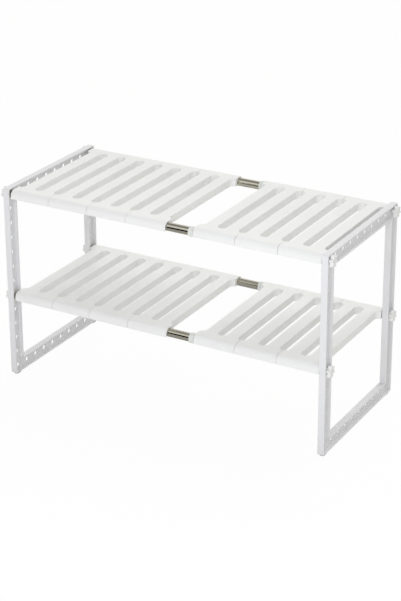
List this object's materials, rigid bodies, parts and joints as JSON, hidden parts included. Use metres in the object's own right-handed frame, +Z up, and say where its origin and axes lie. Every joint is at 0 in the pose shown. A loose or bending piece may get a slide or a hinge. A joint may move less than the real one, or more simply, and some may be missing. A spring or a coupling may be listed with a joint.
{
  "type": "expandable shelf organizer",
  "caption": "Telescoping two-tier shelf: moulded side frames with screw holes, steel tubes that slide in one another, and slatted panels that saddle the tubes either side of a pipe gap.",
  "frame": {"origin": "on the floor, under the middle of the rack at the width drawn", "axes": "+X along the width towards the outer tubes, +Y from front to rear, +Z up"},
  "size_m": [0.6842, 0.29, 0.3833],
  "materials": {
    "frame_plastic": "white, satin moulded",
    "panel_plastic": "white, satin moulded",
    "tube_steel": "polished stainless",
    "collar_plastic": "white, satin moulded",
    "knob_plastic": "gloss white",
    "stud_steel": "zinc plated",
    "plug_plastic": "white",
    "foot_rubber": "pale grey"
  },
  "bodies": {
    "left_half": {"left_frame": "frame_plastic", "left_front_foot": "foot_rubber", "left_rear_foot": "foot_rubber", "lower_front_inner_tube": "tube_steel", "left_lower_front_plug": "plug_plastic", "lower_rear_inner_tube": "tube_steel", "left_lower_rear_plug": "plug_plastic", "upper_front_inner_tube": "tube_steel", "left_upper_front_plug": "plug_plastic", "upper_rear_inner_tube": "tube_steel", "left_upper_rear_plug": "plug_plastic"},
    "right_half": {"right_frame": "frame_plastic", "right_front_foot": "foot_rubber", "right_rear_foot": "foot_rubber", "lower_front_outer_tube": "tube_steel", "lower_front_collar": "collar_plastic", "right_lower_front_plug": "plug_plastic", "lower_rear_outer_tube": "tube_steel", "lower_rear_collar": "collar_plastic", "right_lower_rear_plug": "plug_plastic", "upper_front_outer_tube": "tube_steel", "upper_front_collar": "collar_plastic", "right_upper_front_plug": "plug_plastic", "upper_rear_outer_tube": "tube_steel", "upper_rear_collar": "collar_plastic", "right_upper_rear_plug": "plug_plastic"},
    "left_lower_front_stud": {"left_lower_front_stud": "stud_steel"},
    "left_lower_front_knob": {"left_lower_front_knob": "knob_plastic"},
    "left_lower_rear_stud": {"left_lower_rear_stud": "stud_steel"},
    "left_lower_rear_knob": {"left_lower_rear_knob": "knob_plastic"},
    "left_upper_front_stud": {"left_upper_front_stud": "stud_steel"},
    "left_upper_front_knob": {"left_upper_front_knob": "knob_plastic"},
    "left_upper_rear_stud": {"left_upper_rear_stud": "stud_steel"},
    "left_upper_rear_knob": {"left_upper_rear_knob": "knob_plastic"},
    "right_lower_front_stud": {"right_lower_front_stud": "stud_steel"},
    "right_lower_front_knob": {"right_lower_front_knob": "knob_plastic"},
    "right_lower_rear_stud": {"right_lower_rear_stud": "stud_steel"},
    "right_lower_rear_knob": {"right_lower_rear_knob": "knob_plastic"},
    "right_upper_front_stud": {"right_upper_front_stud": "stud_steel"},
    "right_upper_front_knob": {"right_upper_front_knob": "knob_plastic"},
    "right_upper_rear_stud": {"right_upper_rear_stud": "stud_steel"},
    "right_upper_rear_knob": {"right_upper_rear_knob": "knob_plastic"},
    "lower_panel_1": {"lower_panel_1": "panel_plastic"},
    "lower_panel_2": {"lower_panel_2": "panel_plastic"},
    "lower_panel_3": {"lower_panel_3": "panel_plastic"},
    "lower_panel_4": {"lower_panel_4": "panel_plastic"},
    "lower_panel_5": {"lower_panel_5": "panel_plastic"},
    "lower_panel_6": {"lower_panel_6": "panel_plastic"},
    "lower_panel_7": {"lower_panel_7": "panel_plastic"},
    "upper_panel_1": {"upper_panel_1": "panel_plastic"},
    "upper_panel_2": {"upper_panel_2": "panel_plastic"},
    "upper_panel_3": {"upper_panel_3": "panel_plastic"},
    "upper_panel_4": {"upper_panel_4": "panel_plastic"},
    "upper_panel_5": {"upper_panel_5": "panel_plastic"},
    "upper_panel_6": {"upper_panel_6": "panel_plastic"},
    "upper_panel_7": {"upper_panel_7": "panel_plastic"}
  },
  "joints": [
    {"name": "width_slide", "type": "slide", "parent": "left_half", "child": "right_half", "axis": [1, 0, 0], "range_m": [-0.0435, 0.09]},
    {"name": "left_lower_front_screw_travel", "type": "slide", "parent": "left_half", "child": "left_lower_front_stud", "axis": [-1, 0, 0], "range_m": [0, 0.0101]},
    {"name": "left_lower_front_screw_turn", "type": "hinge", "parent": "left_lower_front_stud", "child": "left_lower_front_knob", "pos_m": [-0.3349, -0.1323, 0.1638], "axis": [-1, 0, 0], "range_deg": [0, 3600]},
    {"name": "left_lower_rear_screw_travel", "type": "slide", "parent": "left_half", "child": "left_lower_rear_stud", "axis": [-1, 0, 0], "range_m": [0, 0.0101]},
    {"name": "left_lower_rear_screw_turn", "type": "hinge", "parent": "left_lower_rear_stud", "child": "left_lower_rear_knob", "pos_m": [-0.3349, 0.1323, 0.1638], "axis": [-1, 0, 0], "range_deg": [0, 3600]},
    {"name": "left_upper_front_screw_travel", "type": "slide", "parent": "left_half", "child": "left_upper_front_stud", "axis": [-1, 0, 0], "range_m": [0, 0.0101]},
    {"name": "left_upper_front_screw_turn", "type": "hinge", "parent": "left_upper_front_stud", "child": "left_upper_front_knob", "pos_m": [-0.3349, -0.1323, 0.3703], "axis": [-1, 0, 0], "range_deg": [0, 3600]},
    {"name": "left_upper_rear_screw_travel", "type": "slide", "parent": "left_half", "child": "left_upper_rear_stud", "axis": [-1, 0, 0], "range_m": [0, 0.0101]},
    {"name": "left_upper_rear_screw_turn", "type": "hinge", "parent": "left_upper_rear_stud", "child": "left_upper_rear_knob", "pos_m": [-0.3349, 0.1323, 0.3703], "axis": [-1, 0, 0], "range_deg": [0, 3600]},
    {"name": "right_lower_front_screw_travel", "type": "slide", "parent": "right_half", "child": "right_lower_front_stud", "axis": [1, 0, 0], "range_m": [0, 0.0101]},
    {"name": "right_lower_front_screw_turn", "type": "hinge", "parent": "right_lower_front_stud", "child": "right_lower_front_knob", "pos_m": [0.3349, -0.1323, 0.1638], "axis": [1, 0, 0], "range_deg": [0, 3600]},
    {"name": "right_lower_rear_screw_travel", "type": "slide", "parent": "right_half", "child": "right_lower_rear_stud", "axis": [1, 0, 0], "range_m": [0, 0.0101]},
    {"name": "right_lower_rear_screw_turn", "type": "hinge", "parent": "right_lower_rear_stud", "child": "right_lower_rear_knob", "pos_m": [0.3349, 0.1323, 0.1638], "axis": [1, 0, 0], "range_deg": [0, 3600]},
    {"name": "right_upper_front_screw_travel", "type": "slide", "parent": "right_half", "child": "right_upper_front_stud", "axis": [1, 0, 0], "range_m": [0, 0.0101]},
    {"name": "right_upper_front_screw_turn", "type": "hinge", "parent": "right_upper_front_stud", "child": "right_upper_front_knob", "pos_m": [0.3349, -0.1323, 0.3703], "axis": [1, 0, 0], "range_deg": [0, 3600]},
    {"name": "right_upper_rear_screw_travel", "type": "slide", "parent": "right_half", "child": "right_upper_rear_stud", "axis": [1, 0, 0], "range_m": [0, 0.0101]},
    {"name": "right_upper_rear_screw_turn", "type": "hinge", "parent": "right_upper_rear_stud", "child": "right_upper_rear_knob", "pos_m": [0.3349, 0.1323, 0.3703], "axis": [1, 0, 0], "range_deg": [0, 3600]},
    {"name": "lower_panel_1_lift", "type": "slide", "parent": "left_half", "child": "lower_panel_1", "axis": [0, 0, 1], "range_m": [0, 0.04]},
    {"name": "lower_panel_2_lift", "type": "slide", "parent": "left_half", "child": "lower_panel_2", "axis": [0, 0, 1], "range_m": [0, 0.04]},
    {"name": "lower_panel_3_lift", "type": "slide", "parent": "left_half", "child": "lower_panel_3", "axis": [0, 0, 1], "range_m": [0, 0.04]},
    {"name": "lower_panel_4_lift", "type": "slide", "parent": "left_half", "child": "lower_panel_4", "axis": [0, 0, 1], "range_m": [0, 0.04]},
    {"name": "lower_panel_5_lift", "type": "slide", "parent": "right_half", "child": "lower_panel_5", "axis": [0, 0, 1], "range_m": [0, 0.04]},
    {"name": "lower_panel_6_lift", "type": "slide", "parent": "right_half", "child": "lower_panel_6", "axis": [0, 0, 1], "range_m": [0, 0.04]},
    {"name": "lower_panel_7_lift", "type": "slide", "parent": "right_half", "child": "lower_panel_7", "axis": [0, 0, 1], "range_m": [0, 0.04]},
    {"name": "upper_panel_1_lift", "type": "slide", "parent": "left_half", "child": "upper_panel_1", "axis": [0, 0, 1], "range_m": [0, 0.04]},
    {"name": "upper_panel_2_lift", "type": "slide", "parent": "left_half", "child": "upper_panel_2", "axis": [0, 0, 1], "range_m": [0, 0.04]},
    {"name": "upper_panel_3_lift", "type": "slide", "parent": "left_half", "child": "upper_panel_3", "axis": [0, 0, 1], "range_m": [0, 0.04]},
    {"name": "upper_panel_4_lift", "type": "slide", "parent": "left_half", "child": "upper_panel_4", "axis": [0, 0, 1], "range_m": [0, 0.04]},
    {"name": "upper_panel_5_lift", "type": "slide", "parent": "right_half", "child": "upper_panel_5", "axis": [0, 0, 1], "range_m": [0, 0.04]},
    {"name": "upper_panel_6_lift", "type": "slide", "parent": "right_half", "child": "upper_panel_6", "axis": [0, 0, 1], "range_m": [0, 0.04]},
    {"name": "upper_panel_7_lift", "type": "slide", "parent": "right_half", "child": "upper_panel_7", "axis": [0, 0, 1], "range_m": [0, 0.04]}
  ],
  "couplings": [
    {"joint": "left_lower_front_screw_travel", "follows": "left_lower_front_screw_turn", "m_per_rad": 0.00015915},
    {"joint": "left_lower_rear_screw_travel", "follows": "left_lower_rear_screw_turn", "m_per_rad": 0.00015915},
    {"joint": "left_upper_front_screw_travel", "follows": "left_upper_front_screw_turn", "m_per_rad": 0.00015915},
    {"joint": "left_upper_rear_screw_travel", "follows": "left_upper_rear_screw_turn", "m_per_rad": 0.00015915},
    {"joint": "right_lower_front_screw_travel", "follows": "right_lower_front_screw_turn", "m_per_rad": 0.00015915},
    {"joint": "right_lower_rear_screw_travel", "follows": "right_lower_rear_screw_turn", "m_per_rad": 0.00015915},
    {"joint": "right_upper_front_screw_travel", "follows": "right_upper_front_screw_turn", "m_per_rad": 0.00015915},
    {"joint": "right_upper_rear_screw_travel", "follows": "right_upper_rear_screw_turn", "m_per_rad": 0.00015915}
  ]
}
